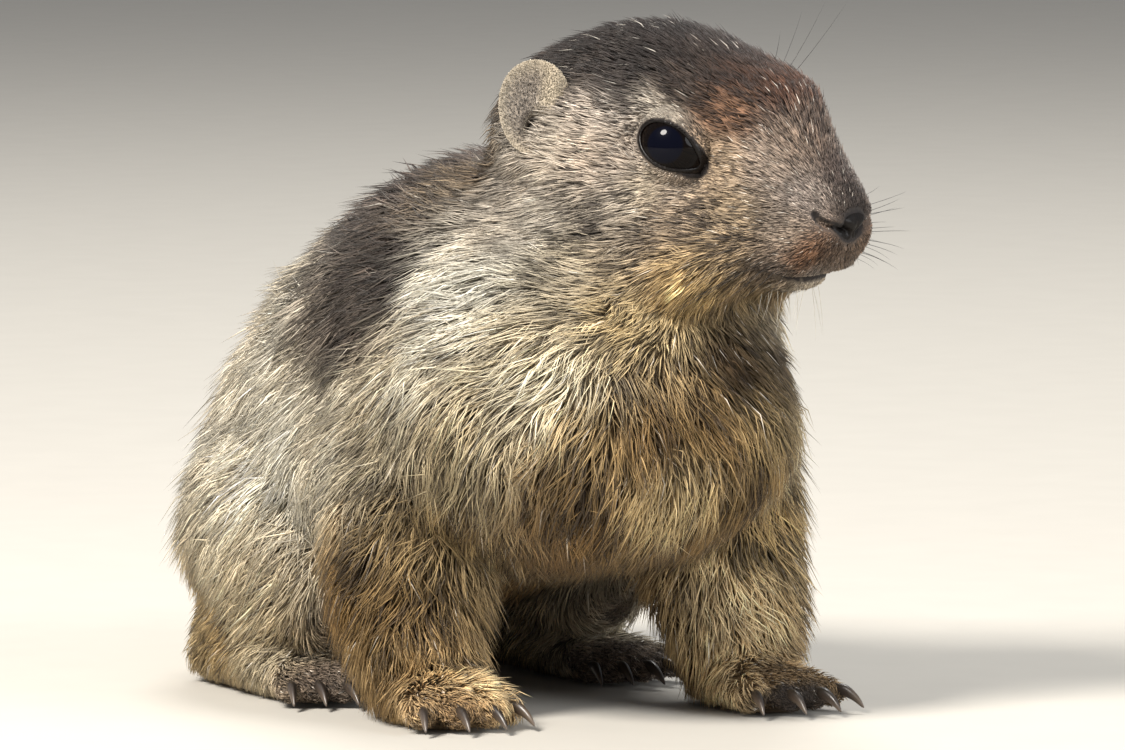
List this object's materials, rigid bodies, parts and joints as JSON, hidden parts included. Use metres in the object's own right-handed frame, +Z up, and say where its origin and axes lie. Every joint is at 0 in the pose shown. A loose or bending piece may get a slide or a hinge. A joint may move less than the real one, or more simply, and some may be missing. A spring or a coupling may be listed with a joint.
{
  "type": "alpine marmot",
  "caption": "Young alpine marmot at life size, up on straight forelegs with its haunches low and its head turned to its left.",
  "frame": {"origin": "middle of the model's box, on the floor under its soles", "axes": "+X to the animal's left, -Y the way its chest points, +Z up"},
  "size_m": [0.1234, 0.2036, 0.1309],
  "materials": {
    "fur_crown": "short dense coat, dark crown, grey buff cheek",
    "fur_grey": "long loose coat, grizzled grey over buff",
    "fur_buff": "long loose coat, golden buff with pale tips",
    "ear_fur": "short cream hair",
    "eye": "wet and glossy, near black",
    "nose_skin": "moist bare skin, near black",
    "claw_horn": "smooth dark horn"
  },
  "bodies": {
    "root": {"head": "fur_crown", "neck": "fur_grey", "foreleg_right": "fur_buff", "foreleg_left": "fur_buff", "hindleg_right": "fur_buff", "hindleg_left": "fur_buff", "tail_tip": "fur_buff", "tail_middle": "fur_buff", "tail_base": "fur_buff", "torso": "fur_grey", "eye_right": "eye", "ear_right": "ear_fur", "eye_left": "eye", "ear_left": "ear_fur", "nose": "nose_skin", "claw_foreleg_right_1": "claw_horn", "claw_foreleg_right_2": "claw_horn", "claw_foreleg_right_3": "claw_horn", "claw_foreleg_right_4": "claw_horn", "claw_foreleg_left_1": "claw_horn", "claw_foreleg_left_2": "claw_horn", "claw_foreleg_left_3": "claw_horn", "claw_foreleg_left_4": "claw_horn", "claw_hindleg_right_1": "claw_horn", "claw_hindleg_right_2": "claw_horn", "claw_hindleg_right_3": "claw_horn", "claw_hindleg_right_4": "claw_horn", "claw_hindleg_right_5": "claw_horn", "claw_hindleg_left_1": "claw_horn", "claw_hindleg_left_2": "claw_horn", "claw_hindleg_left_3": "claw_horn", "claw_hindleg_left_4": "claw_horn", "claw_hindleg_left_5": "claw_horn"}
  },
  "joints": []
}
